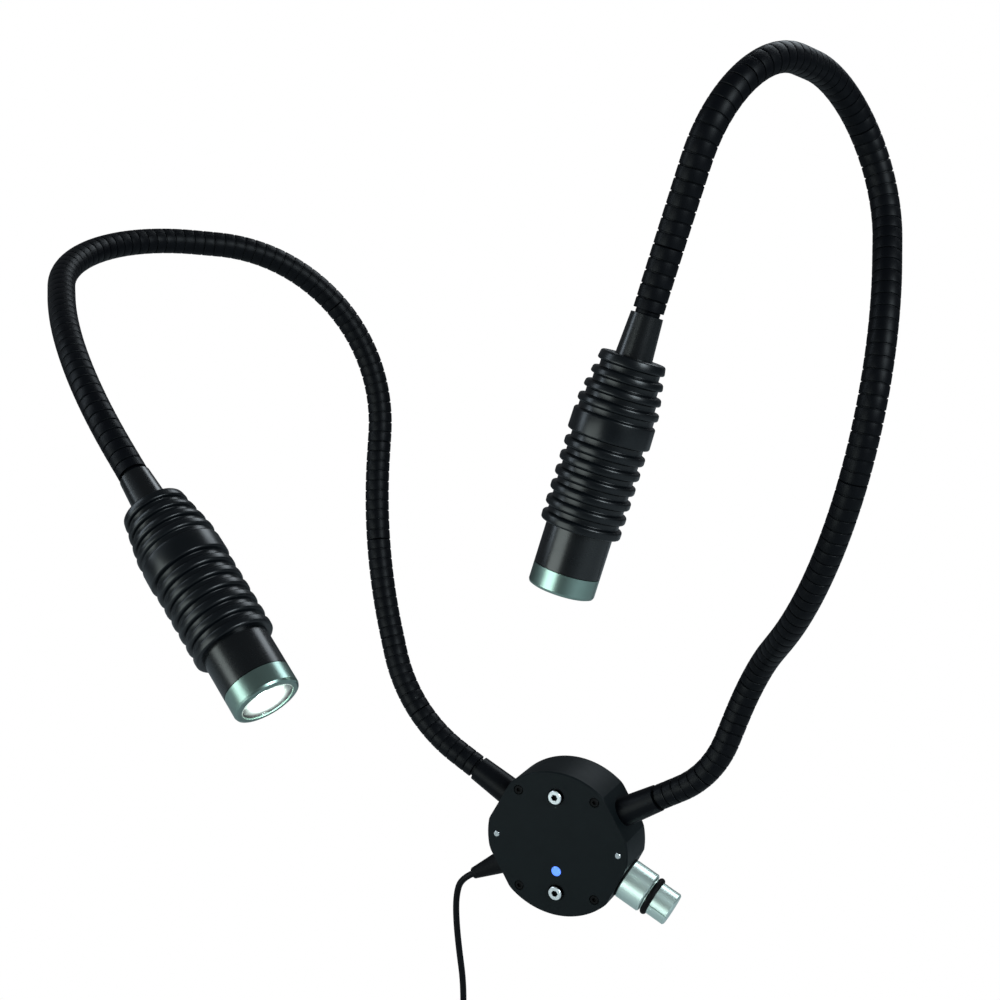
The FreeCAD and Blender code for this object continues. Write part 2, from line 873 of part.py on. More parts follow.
def make_head(side):
    frame = head_frame(side)
    top = "ferrule_length"
    inner = top + " + barrel_start"
    grip_end = top + " + grip_length"
    barrel_end = grip_end + " + barrel_length"
    mouth = barrel_end + " + barrel_neck"
    bezel_start = barrel_end + " + head_groove"
    tip = bezel_start + " + bezel_length"
    ferrule = turned(
        side + "_ferrule",
        [
            ("wire_bore / 2", "bend_gap / 2"),
            ("ferrule_start_dia / 2", "bend_gap / 2"),
            ("ferrule_end_dia / 2", top),
            ("ferrule_end_dia / 2", inner),
            ("wire_bore / 2", inner),
        ],
        frame,
    )
    cup = feature(ferrule, "SubtractiveSphere", {"Radius": "ball_dia / 2 + ball_play"}, ("0", "0", "0"))
    bind(cup, "Angle2", "asin(cup_floor / (ball_dia / 2 + ball_play))")
    make_grip(side, frame, top, inner, grip_end)
    turned(
        side + "_barrel",
        [
            ("wire_bore / 2", inner),
            ("barrel_hidden_dia / 2", inner),
            ("barrel_hidden_dia / 2", grip_end),
            ("barrel_dia / 2", grip_end),
            ("barrel_dia / 2", barrel_end),
            ("barrel_neck_dia / 2", barrel_end),
            ("barrel_neck_dia / 2", mouth),
            ("barrel_bore / 2", mouth),
            ("barrel_bore / 2", inner + " + barrel_top"),
            ("wire_bore / 2", inner + " + barrel_top"),
        ],
        frame,
    )
    lens_front = tip + " - bezel_lip"
    turned(
        side + "_bezel",
        [
            ("barrel_neck_dia / 2", bezel_start),
            ("barrel_dia / 2", bezel_start),
            ("barrel_dia / 2", tip + " - bezel_round"),
            ("barrel_dia / 2 - bezel_round * (1 - cos(45))", tip + " - bezel_round * (1 - cos(45))"),
            ("barrel_dia / 2 - bezel_round", tip),
            ("window_dia / 2", tip),
            ("window_dia / 2", lens_front),
            ("lens_dia / 2", lens_front),
            ("lens_dia / 2", mouth),
            ("barrel_neck_dia / 2", mouth),
        ],
        frame,
    )
    turned(
        side + "_lens",
        [
            ("0", lens_front + " - lens_thick"),
            ("lens_dia / 2", lens_front + " - lens_thick"),
            ("lens_dia / 2", lens_front),
            ("window_dia / 2", lens_front),
            ("window_dia / 2 - lens_dome", lens_front + " + lens_dome"),
            ("0", lens_front + " + lens_dome"),
        ],
        frame,
    )
    turned(
        side + "_lens_seal",
        [
            ("lens_dia / 2 - seal_width", mouth),
            ("lens_dia / 2", mouth),
            ("lens_dia / 2", lens_front + " - lens_thick"),
            ("lens_dia / 2 - seal_width", lens_front + " - lens_thick"),
        ],
        frame,
    )
    board = mouth + " - led_depth"
    turned(
        side + "_led_board",
        [
            ("0", board),
            ("barrel_bore / 2", board),
            ("barrel_bore / 2", board + " + led_board_thick"),
            ("0", board + " + led_board_thick"),
        ],
        frame,
    )
    make_leds(side, frame)
    make_sink(side, frame, board)


def make_grip(side, frame, top, inner, grip_end):
    grip = turned(
        side + "_grip",
        [
            ("ferrule_end_dia / 2", top),
            ("grip_top_dia / 2", top),
            ("grip_shoulder_dia / 2", top + " + grip_shoulder"),
            ("grip_shoulder_dia / 2", top + " + band_start"),
            ("band_dia / 2", top + " + band_start"),
            ("band_dia / 2", top + " + band_end"),
            ("grip_end_dia / 2", top + " + band_end"),
            ("grip_end_dia / 2", grip_end),
            ("barrel_hidden_dia / 2", grip_end),
            ("barrel_hidden_dia / 2", inner),
            ("ferrule_end_dia / 2", inner),
        ],
        frame,
    )
    rise = "(grip_shoulder_dia - grip_top_dia) / 2 / grip_shoulder"
    for k in range(int(size("upper_grooves"))):
        low = "upper_first + %d * upper_pitch" % k
        high = low + " + groove_floor"
        outer = [
            "(grip_top_dia / 2 + (%s) * %s)" % (low, rise),
            "(grip_top_dia / 2 + (%s) * %s)" % (high, rise),
        ]
        cut_ring(grip, "upper_%d" % k, top, low + " - groove_floor / 2", high, outer)
    lower = top + " + band_end"
    first = "first_groove_width"
    cut_ring(grip, "first", lower, "0", first, None)
    for k in range(int(size("lower_grooves"))):
        low = "first_groove_width + lower_pitch - groove_width + %d * lower_pitch" % k
        cut_ring(grip, "lower_%d" % k, lower, low, low + " + groove_width", None)


def cut_ring(grip, name, base, low, high, outer):
    """A groove round the grip: sloped walls down to a narrow floor."""
    sketch = new_sketch(grip, "%s_%s_groove" % (grip.Label, name), "XZ_Plane")
    inset = "(groove_width - groove_floor) / 2"
    if outer:
        deep = outer[0] + " - upper_groove_deep"
        top = "band_dia / 2 + edge_break"
        points = [
            (deep, base + " + " + low + " + groove_floor / 2"),
            (top, base + " + " + low),
            (top, base + " + " + high + " + groove_floor / 2"),
            (deep, base + " + " + high),
        ]
    else:
        points = [
            ("groove_dia / 2", base + " + " + low + " + " + inset),
            ("band_dia / 2 + edge_break", base + " + " + low),
            ("band_dia / 2 + edge_break", base + " + " + high),
            ("groove_dia / 2", base + " + " + high + " - " + inset),
        ]
    corners = [Vec(9 + math.cos(a), 9 + math.sin(a), 0) for a in steps(4)]
    for k in range(4):
        sketch.addGeometry(Part.LineSegment(corners[k], corners[(k + 1) % 4]), False)
    for k, (radius, height) in enumerate(points):
        sketch.addConstraint(Sketcher.Constraint("Coincident", (k - 1) % 4, 2, k, 1))
        place_point(sketch, k, 1, radius, height)
    groove = grip.newObject("PartDesign::Groove", "%s_%s" % (grip.Label, name))
    groove.Profile = sketch
    groove.ReferenceAxis = (sketch, ["V_Axis"])
    groove.Angle = 360


def make_leds(side, frame):
    one = doc.getObject("led_one") or turned(
        "led_one",
        [
            ("0", "0"),
            ("led_dia / 2", "0"),
            ("led_dia / 2", "led_shoulder"),
            ("led_top_dia / 2", "led_height"),
            ("0", "led_height"),
        ],
    )
    high = (
        size("ferrule_length") + size("grip_length") + size("barrel_length") + size("barrel_neck")
        - size("led_depth") + size("led_board_thick")
    )
    rows = [FreeCAD.Placement(Vec(0, 0, high), FreeCAD.Rotation())]
    for a in steps(int(size("led_count"))):
        reach = half("led_circle")
        foot = Vec(reach * math.cos(a), reach * math.sin(a), high)
        rows.append(FreeCAD.Placement(foot, FreeCAD.Rotation()))
    group(side + "_leds", one, [frame.multiply(row) for row in rows])


def make_sink(side, frame, board):
    outline = [("0", board + " - sink_length")]
    pitch = "(sink_length - sink_plate) / sink_fins"
    edge = "barrel_bore / 2 - sink_play"
    for k in range(int(size("sink_fins"))):
        low = board + " - sink_length + %d * " % k + pitch
        outline.append((edge, low))
        outline.append((edge, low + " + fin_thick"))
        outline.append(("sink_core_dia / 2", low + " + fin_thick"))
        outline.append(("sink_core_dia / 2", low + " + " + pitch))
    outline += [(edge, board + " - sink_plate"), (edge, board), ("0", board)]
    turned(side + "_heat_sink", outline, frame)


# Supply lead
def rounded(points):
    """Edges and arc radii of straight runs joined by arcs, each as large as its two runs allow."""
    edges = []
    radii = []
    here = points[0]
    for k in range(1, len(points) - 1):
        back = points[k - 1] - points[k]
        ahead = points[k + 1] - points[k]
        turn = math.pi - back.getAngle(ahead)
        cut = 0.45 * min(back.Length, ahead.Length)
        radius = cut / math.tan(turn / 2)
        first = points[k] + back.normalize() * cut
        last = points[k] + ahead.normalize() * cut
        inward = (back + ahead).normalize()
        middle_point = points[k] + inward * (radius / math.cos(turn / 2) - radius)
        edges.append(Part.LineSegment(here, first).toShape())
        edges.append(Part.Arc(first, middle_point, last).toShape())
        radii.append(radius)
        here = last
    edges.append(Part.LineSegment(here, points[-1]).toShape())
    return edges, radii


def tube(edges, start, along, radius):
    """A round tube along straight runs and arcs: its end circle is carried on from one run to the next."""
    circle = ring(start, along, radius, along.cross(Vec(0, 1, 0)))
    faces = [Part.Face(circle)]
    for edge in edges:
        first, last = edge.valueAt(edge.FirstParameter), edge.valueAt(edge.LastParameter)
        if isinstance(edge.Curve, Part.Circle):
            turn = math.degrees(edge.LastParameter - edge.FirstParameter)
            centre, axis = edge.Curve.Center, edge.Curve.Axis
            faces += circle.revolve(centre, axis, turn).Faces
            circle = circle.copy()
            circle.rotate(centre, axis, turn)
        else:
            faces += circle.extrude(last - first).Faces
            circle = circle.translated(last - first)
    faces.append(Part.Face(circle))
    shell = Part.makeShell(faces)
    shell.sewShape()
    solid = Part.makeSolid(shell)
    if solid.Volume < 0:
        solid.reverse()
    return solid, sum(edge.Length for edge in edges)


def report_tube(name, shape, length, radii):
    expected = math.pi * half("lead_dia") ** 2 * length
    print(
        "%s: length %.1f, volume %.1f against %.1f, radii %s"
        % (name, length, shape.Volume, expected, ", ".join("%.1f" % r for r in radii))
    )


def lead_exit():
    frame = port_frame(PORTS["relief"])
    end = frame.multVec(Vec(0, 0, flat() + size("relief_length")))
    return end, frame.Rotation.multVec(Vec(0, 0, 1))


def coil_top():
    across, up = LEAD_POINTS[-1]
    return Vec(across, -middle(), up)


def coil_point(turns):
    """A point of the winding. It spirals in and out and climbs a layer at each reversal."""
    step = size("coil_step")
    per_layer = size("coil_turns")
    outer = half("coil_mean_dia") + per_layer * step / 2
    layer = int(min(max(turns // per_layer, 0), size("coil_layers") - 1))
    into = turns - layer * per_layer
    radius = outer - step * into if layer % 2 == 0 else outer - step * (per_layer - into)
    depth = 0.0
    for k in range(1, int(size("coil_layers"))):
        depth += step * min(max((turns - k * per_layer) * 2 + 0.5, 0), 1)
    top = coil_top()
    entry = size("coil_entry_radius")
    centre = Vec(top.x - entry, top.y, top.z - size("lead_dia") - entry - outer)
    a = 2 * math.pi * turns
    return centre + Vec(-radius * math.sin(a), -depth, radius * math.cos(a))


def biarc(first, way, last, end_way):
    """Two arcs that join two points with the given directions."""
    gap = last - first
    both = way + end_way
    spread = 2 * (1 - way.dot(end_way))
    reach = (-gap.dot(both) + math.sqrt(gap.dot(both) ** 2 + spread * gap.dot(gap))) / spread
    knee = first + way * reach
    far_knee = last - end_way * reach
    join = (knee + far_knee) * 0.5
    return [tangent_arc(first, knee, join), tangent_arc(join, far_knee, last)]


def tangent_arc(first, knee, last):
    chord = (first + last) * 0.5
    rise = (knee - chord).Length
    span = (last - first).Length / 2
    reach = (knee - first).Length
    radius = span * reach / rise
    bulge = radius - math.sqrt(radius * radius - span * span)
    return Part.Arc(first, chord + (knee - chord) * (bulge / rise), last).toShape()


def coil_edges():
    top = coil_top()
    entry = size("coil_entry_radius")
    straight = size("lead_dia")
    bend_start = top - Vec(0, 0, straight)
    bend_centre = bend_start - Vec(entry, 0, 0)
    slant = math.radians(45)
    bend_mid = bend_centre + Vec(math.cos(slant), 0, -math.sin(slant)) * entry
    bend_end = bend_centre - Vec(0, 0, entry)
    edges = [
        Part.LineSegment(top, bend_start).toShape(),
        Part.Arc(bend_start, bend_mid, bend_end).toShape(),
    ]
    total = size("coil_turns") * size("coil_layers") + 0.25
    quarters = int(round(total * 4))
    small = 1e-4

    def way(turns):
        return (coil_point(turns + small) - coil_point(turns - small)).normalize()

    ways = [way(k / 4) for k in range(quarters + 1)]
    ways[0] = Vec(-1, 0, 0)
    ways[-1] = Vec(0, 0, -1)
    for k in range(quarters):
        edges += biarc(coil_point(k / 4), ways[k], coil_point((k + 1) / 4), ways[k + 1])
    end = coil_point(quarters / 4)
    edges.append(Part.LineSegment(end, end - Vec(0, 0, straight)).toShape())
    return edges


def coil_gap(edges):
    """The least gap between windings, measured on points along the whole tube."""
    points = []
    travelled = 0.0
    for edge in edges:
        count = max(2, int(edge.Length / 1.5))
        span = edge.LastParameter - edge.FirstParameter
        for k in range(count):
            place = edge.valueAt(edge.FirstParameter + span * k / count)
            points.append((place, travelled + edge.Length * k / count))
        travelled += edge.Length
    least = 1e9
    near = 6 * size("lead_dia")
    for i, (a, walked) in enumerate(points):
        for b, later in points[i + 1:]:
            if later - walked > near:
                least = min(least, (a - b).Length)
    return least - size("lead_dia")


def make_lead():
    start, way = lead_exit()
    points = [start, start + way * size("lead_first_run")] + [Vec(x, -middle(), z) for x, z in LEAD_POINTS]
    edges, radii = rounded(points)
    shape, length = tube(edges, start, way, half("lead_dia"))
    solid_node("supply_lead", shape)
    report_tube("supply_lead", shape, length, radii)
    edges = coil_edges()
    shape, length = tube(edges, coil_top(), Vec(0, 0, -1), half("lead_dia"))
    solid_node("lead_coil", shape)
    report_tube("lead_coil", shape, length, [size("coil_entry_radius")])
    print("lead_coil: least gap to itself %.2f" % coil_gap(edges))
    end = edges[-1].valueAt(edges[-1].LastParameter)
    points = [end + Vec(*point) for point in TAIL_POINTS]
    edges, radii = rounded(points)
    shape, length = tube(edges, end, Vec(0, 0, -1), half("lead_dia"))
    solid_node("lead_tail", shape)
    report_tube("lead_tail", shape, length, radii)
    make_plug(points[-1])
    make_tie()


def make_plug(top):
    frame = FreeCAD.Placement(top, FreeCAD.Rotation(Vec(1, 0, 0), Vec(0, -1, 0), Vec(0, 0, -1), "ZXY"))
    body_end = "plug_sleeve_length + plug_body_length"
    turned(
        "plug_body",
        [
            ("0", "0"),
            ("lead_dia / 2 + edge_break", "0"),
            ("plug_sleeve_dia / 2", "plug_sleeve_length"),
            ("plug_body_dia / 2 - edge_break", "plug_sleeve_length"),
            ("plug_body_dia / 2", "plug_sleeve_length + edge_break"),
            ("plug_body_dia / 2", body_end),
            ("0", body_end),
        ],
        frame,
    )
    turned(
        "plug_barrel",
        [
            ("0", body_end),
            ("plug_barrel_dia / 2", body_end),
            ("plug_barrel_dia / 2", body_end + " + plug_barrel_length"),
            ("plug_bore_dia / 2", body_end + " + plug_barrel_length"),
            ("plug_bore_dia / 2", body_end + " + edge_break"),
            ("0", body_end + " + edge_break"),
        ],
        frame,
    )


def make_tie():
    """A strap round all the windings at the top of the coil."""
    step = size("coil_step")
    outer = half("coil_mean_dia") + size("coil_turns") * step / 2
    inner = half("coil_mean_dia") - size("coil_turns") * step / 2
    top = coil_point(0)
    reach = half("tie_width")
    shift = size("tie_shift")
    play = half("lead_dia") + size("tie_play")
    high = (reach - shift) ** 2 / (2 * size("coil_entry_radius")) + play
    low = outer - inner + (reach + shift) ** 2 / (2 * inner) + play
    front = (size("coil_layers") - 1) * step + play
    wall = size("tie_wall")
    tall = high + low
    deep = front + play
    centre = Vec(top.x - shift - reach, top.y - front, top.z - low)
    box = Part.makeBox(size("tie_width"), deep + 2 * wall, tall + 2 * wall, centre - Vec(0, wall, wall))
    window = Part.makeBox(size("tie_width") * 3, deep, tall, centre - Vec(size("tie_width"), 0, 0))
    long_edges = [e for e in box.Edges if abs(e.Length - size("tie_width")) < 0.01]
    box = box.makeFillet(size("tie_round"), long_edges)
    solid_node("lead_tie", box.cut(window))


def check_and_write():
    doc.recompute()
    for thing in doc.Objects:
        bad = [word for word in thing.State if word in ("Invalid", "Error")]
        if bad:
            raise RuntimeError("%s is %s" % (thing.Label, bad))
    os.makedirs("parts", exist_ok=True)
    total = 0
    for thing in doc.Objects:
        node = thing.TypeId == "PartDesign::Body" or thing.TypeId == "Part::Feature"
        if not node or thing.Label.endswith("_one"):
            continue
        if thing.Shape.isNull() or not thing.Shape.isValid() or not thing.Shape.Solids:
            raise RuntimeError("%s has no sound shape" % thing.Label)
        thing.Shape.exportStep("parts/%s.step" % thing.Label)
        total += 1
    print("%d nodes" % total)


make_housing()
make_face_plate()
make_fasteners()
make_electronics()
make_dimmer()
make_relief()
for neck_side in NECKS:
    make_neck(neck_side)
    make_head(neck_side)
make_lead()
check_and_write()
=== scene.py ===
import math

import bpy
from mathutils import Matrix, Quaternion, Vector


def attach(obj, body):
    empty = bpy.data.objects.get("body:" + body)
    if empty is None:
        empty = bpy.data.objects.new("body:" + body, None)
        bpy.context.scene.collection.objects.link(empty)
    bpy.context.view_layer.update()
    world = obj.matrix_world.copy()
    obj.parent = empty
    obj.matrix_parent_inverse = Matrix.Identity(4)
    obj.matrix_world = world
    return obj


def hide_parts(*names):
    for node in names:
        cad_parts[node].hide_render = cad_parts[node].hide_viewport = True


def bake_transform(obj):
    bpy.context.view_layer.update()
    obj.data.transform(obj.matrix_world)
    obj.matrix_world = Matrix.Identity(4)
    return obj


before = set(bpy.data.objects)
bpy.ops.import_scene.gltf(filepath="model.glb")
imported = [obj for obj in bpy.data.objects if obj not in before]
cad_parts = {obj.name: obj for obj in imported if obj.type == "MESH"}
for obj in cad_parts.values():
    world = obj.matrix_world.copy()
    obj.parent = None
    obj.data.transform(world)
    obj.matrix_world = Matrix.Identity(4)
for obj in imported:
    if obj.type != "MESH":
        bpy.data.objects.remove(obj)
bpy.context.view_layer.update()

# A twin gooseneck lamp: a round black housing with a dimmer and a supply lead, and two ribbed necks
# that each carry a ribbed lamp head. Metres, in the frame of the solids. MM turns millimetres to metres.
MM = 0.001
PER_METRE = 1000
SIDES = ("right", "left")
scene = bpy.context.scene

# Sizes shared with the solids, in millimetres and degrees. The ports stand round the housing at one depth,
# where sleeves and the strain relief stand out from its flats, and PORTS gives their angles
PORT_DEPTH = -12.5
PORT_CENTRE = Vector((0, PORT_DEPTH, 0))
FRONT = Vector((0, -1, 0))
FLAT = 35.5
SLEEVE = 21.0
RELIEF = 24.0
PORTS = {"right": 30.0, "left": 150.0, "relief": 210.0, "dimmer": -27.0}

# The hose stops END_GAP short of each end of its neck. A neck is a row of stretches, each a bend with
# straight ends: its length, how far it bends, and how far round the neck the bend's direction turns first
END_GAP = 0.95
END_STRAIGHT = 6.0
NECK_END_STRAIGHT = 12.5
NECKS = {
    "right": [
        (53.0, 43.7, 251.7),
        (54.7, 50.4, 124.5),
        (200.5, 80.5, 193.1),
        (106.3, 112.2, 129.9),
        (87.2, 90.6, 328.0),
        (54.6, 5.3, 143.0),
    ],
    "left": [
        (82.0, 40.6, 113.8),
        (104.5, 18.1, 344.0),
        (156.0, 93.1, 231.4),
        (119.5, 85.0, 55.1),
        (128.0, 32.1, 323.8),
    ],
}

# How near two points count as one, in metres: WELD merges a finished piece, CUT is for cutting planes and
# for closing an outline, and PICK is for choosing points by their place
WELD = 1e-6
CUT = 1e-7
PICK = 3e-6


# Nodes
def linear(text):
    """An sRGB hex colour as linear red, green and blue."""
    values = [int(text[k:k + 2], 16) / 255 for k in (1, 3, 5)]
    return tuple(v / 12.92 if v <= 0.04045 else ((v + 0.055) / 1.055) ** 2.4 for v in values) + (1.0,)


def add(tree, kind, links=None, sockets=None, **settings):
    """Adds a node with its settings, its socket values and the links that reach it."""
    made = tree.nodes.new(kind)
    for name, value in settings.items():
        setattr(made, name, value)
    for name, value in (sockets or {}).items():
        made.inputs[name].default_value = value
    for name, source in (links or {}).items():
        tree.links.new(source, made.inputs[name])
    return made


# Frames of the camera, ports, necks and heads
def frame_at(place, across, up, along):
    """A frame from its place in millimetres and its three directions."""
    return Matrix.Translation(place * MM) @ Matrix((across, up, along)).transposed().to_4x4()


def port_way(name):
    """The direction that a port points in, out of the housing."""
    angle = math.radians(PORTS[name])
    return Vector((math.cos(angle), 0, math.sin(angle)))


def walk(side):
    """The stretches of a neck, each with its start, its direction, the way it bends and its straight ends."""
    along = port_way(side)
    start = along * (FLAT + SLEEVE) + PORT_CENTRE
    aside = FRONT
    rows = []
    final = len(NECKS[side]) - 1
    for k, (length, bend, roll) in enumerate(NECKS[side]):
        aside = Quaternion(along, math.radians(roll)) @ aside
        first = NECK_END_STRAIGHT if k == 0 else END_STRAIGHT
        last = NECK_END_STRAIGHT if k == final else END_STRAIGHT
        arc = length - first - last
        row = {"start": start, "along": along, "aside": aside, "length": length}
        row.update(first=first, arc=arc, radius=arc / math.radians(bend))
        rows.append(row)
        start, along = on_stretch(row, length)
        aside = row["along"].cross(row["aside"]).cross(along)
    return rows


def on_stretch(row, distance):
    """The point at a distance along a stretch, and the neck's direction there."""
    turned_by = min(max(distance - row["first"], 0), row["arc"]) / row["radius"]
    over = max(distance - row["first"] - row["arc"], 0)
    way = row["along"] * math.cos(turned_by) + row["aside"] * math.sin(turned_by)
    point = row["start"] + row["along"] * (min(distance, row["first"]) + row["radius"] * math.sin(turned_by))
    point = point + row["aside"] * (row["radius"] * (1 - math.cos(turned_by)))
    return point + way * over, way


def on_neck(rows, distance):
    """The point at a distance along a whole neck."""
    for row in rows[:-1]:
        if distance <= row["length"]:
            return on_stretch(row, distance)[0]
        distance -= row["length"]
    return on_stretch(rows[-1], distance)[0]


def head_frame(side):
    """The frame of a lamp head: it starts where the neck ends, and its Z axis runs along the head."""
    last = walk(side)[-1]
    point, way = on_stretch(last, last["length"])
    across = last["along"].cross(last["aside"])
    return frame_at(point, across, way.cross(across), way)


def head_way(side):
    """The direction along a lamp head, from the neck to the lens."""
    return head_frame(side).to_3x3() @ Vector((0, 0, 1))


# Camera and light
CAMERA_SENSOR = 36.0
CAMERA_LENS = 55.82
CAMERA_PLACE = Vector((287.95, -680.56, 312.75))
CAMERA_RIGHT = Vector((0.9011, 0.4335, -0.0090))
CAMERA_AHEAD = Vector((-0.4270, 0.8837, -0.1918))

# Each softbox in metres and watts: its place, what it faces, its width, height and power, and its tint
SOFTBOXES = {
    "key softbox": ((1.8, -0.75, 1.0), (0, -0.05, 0.1), 0.8, 0.9, 34, (0.82, 0.94, 1.0)),
    "left strip": ((-1.6, -0.8, 1.0), (0, -0.1, 0.1), 0.4, 1.4, 9, (0.76, 0.89, 1.0)),
    "front fill": ((-0.75, -1.5, 0.15), (0, 0, 0), 1.2, 0.9, 13, (0.88, 1.0, 0.98)),
    "back rim": ((0.3, 1.6, 1.6), (0, 0, 0.2), 1.4, 0.8, 16, (0.84, 0.93, 1.0)),
}
ROOM_TINT = (0.86, 0.93, 1.0, 1)
ROOM_STRENGTH = 0.13


def set_camera():
    """The photograph's view: from the front, right of the housing and above it, looking a little down."""
    data = bpy.data.cameras.new("camera")
    data.sensor_width = CAMERA_SENSOR
    data.lens = CAMERA_LENS
    camera = bpy.data.objects.new("camera", data)
    scene.collection.objects.link(camera)
    right = CAMERA_RIGHT.normalized()
    ahead = CAMERA_AHEAD.normalized()
    camera.matrix_world = frame_at(CAMERA_PLACE, right, right.cross(ahead), -ahead)
    scene.camera = camera


def add_softbox(name, place, towards, wide, tall, power, tint):
    """One softbox, turned to face a point."""
    data = bpy.data.lights.new(name, "AREA")
    data.shape = "RECTANGLE"
    data.size = wide
    data.size_y = tall
    data.energy = power
    data.color = tint
    lamp = bpy.data.objects.new(name, data)
    scene.collection.objects.link(lamp)
    lamp.location = place
    lamp.rotation_euler = (Vector(towards) - Vector(place)).to_track_quat("-Z", "Y").to_euler()


def set_lights():
    """Four softboxes in a dim room that the camera sees as plain white."""
    for name, row in SOFTBOXES.items():
        add_softbox(name, *row)
    world = bpy.data.worlds.new("studio")
    world.use_nodes = True
    tree = world.node_tree
    tree.nodes.clear()
    seen = add(tree, "ShaderNodeBackground", sockets={"Color": (1, 1, 1, 1), "Strength": 1.0})
    around = add(tree, "ShaderNodeBackground", sockets={"Color": ROOM_TINT, "Strength": ROOM_STRENGTH})
    path = add(tree, "ShaderNodeLightPath")
    links = {0: path.outputs["Is Camera Ray"], 1: around.outputs["Background"], 2: seen.outputs["Background"]}
    mix = add(tree, "ShaderNodeMixShader", links)
    add(tree, "ShaderNodeOutputWorld", {"Surface": mix.outputs["Shader"]})
    scene.world = world
    scene.view_settings.view_transform = "Standard"
    scene.view_settings.look = "None"


# Working tools
def clear_selection():
    """Leaves edit mode and selects nothing."""
    if bpy.context.object and bpy.context.object.mode != "OBJECT":
        bpy.ops.object.mode_set(mode="OBJECT")
    bpy.ops.object.select_all(action="DESELECT")


def edit():
    """Opens the active piece in edit mode with everything selected."""
    bpy.ops.object.mode_set(mode="EDIT")
    bpy.ops.mesh.select_mode(type="VERT")
    bpy.ops.mesh.select_all(action="SELECT")


def pick(obj, kind, test):
    """Selects the vertices whose place passes a test, or the edges with both ends passing it."""
    bpy.ops.mesh.select_mode(type={"vertices": "VERT", "edges": "EDGE"}[kind])
    bpy.ops.mesh.select_all(action="DESELECT")
    bpy.ops.object.mode_set(mode="OBJECT")
    mesh = obj.data
    for part in getattr(mesh, kind):
        if kind == "vertices":
            part.select = test(part.co)
        else:
            part.select = all(test(mesh.vertices[v].co) for v in part.vertices)
    bpy.ops.object.mode_set(mode="EDIT")


def close_up():
    """Merges doubles, points every face outwards and leaves edit mode."""
    bpy.ops.mesh.select_all(action="SELECT")
    bpy.ops.mesh.remove_doubles(threshold=WELD)
    bpy.ops.mesh.normals_make_consistent(inside=False)
    bpy.ops.object.mode_set(mode="OBJECT")


def set_down(obj, place):
    """Puts a finished piece in its place and leaves its object at the origin."""
    clear_selection()
    obj.select_set(True)
    bpy.context.view_layer.objects.active = obj
    obj.matrix_world = place
    bpy.ops.object.transform_apply(location=True, rotation=True, scale=True)


# Necks, in millimetres and degrees. The hose lies a tenth of a millimetre inside its solid
NECK_RADIUS = 6.15
NECK_SIDES = 36
NECK_SMOOTH = 15
TURN_PITCH = 5.2
GROOVE_HALF = 0.62
# The shoulder of a turn: how far past its land, and how far below its surface
SHOULDER = [(0.22, 0.05), (0.36, 0.2), (0.42, 0.5)]
LINE_STEPS = 400
LINE_SPARE = 6
BALL_RADIUS = 4.95
BALL_NOSE = 2.6


def neck_line(side):
    """The centre line of a neck as a fine open curve that the straight hose is laid along."""
    rows = walk(side)
    total = sum(row["length"] for row in rows)
    data = bpy.data.curves.new(side + " neck line", "CURVE")
    data.dimensions = "3D"
    data.twist_mode = "MINIMUM"
    spline = data.splines.new("POLY")
    points = [on_neck(rows, total * k / LINE_STEPS) * MM for k in range(LINE_STEPS + 1)]
    end, way = on_stretch(rows[-1], rows[-1]["length"])
    points.append((end + way * LINE_SPARE) * MM)
    spline.points.add(len(points) - 1)
    for point, place in zip(spline.points, points):
        point.co = (*place, 1)
    line = bpy.data.objects.new(side + " neck line", data)
    scene.collection.objects.link(line)
    return line, total


def hose_turn(pitch):
    """One turn of the hose: a flat land with rounded shoulders and half a narrow groove at each end."""
    clear_selection()
    reach = pitch / 2 - GROOVE_HALF
    radius = NECK_RADIUS
    rings = [(reach + past, NECK_RADIUS - below) for past, below in SHOULDER]
    rings.append((pitch / 2, rings[-1][1]))
    bpy.ops.mesh.primitive_cylinder_add(
        vertices=NECK_SIDES, radius=NECK_RADIUS * MM, depth=2 * reach * MM,
        end_fill_type="NOTHING", rotation=(0, math.pi / 2, 0),
    )
    obj = bpy.context.object
    bpy.ops.object.transform_apply(rotation=True)
    edit()
    for next_reach, next_radius in rings:
        pick(obj, "edges", lambda co: abs(abs(co.x) - reach * MM) < PICK)
        bpy.ops.mesh.extrude_region_move()
        scale = (next_reach / reach, next_radius / radius, next_radius / radius)
        bpy.ops.transform.resize(value=scale, center_override=(0, 0, 0))
        reach = next_reach
        radius = next_radius
    bpy.ops.object.mode_set(mode="OBJECT")
    return obj


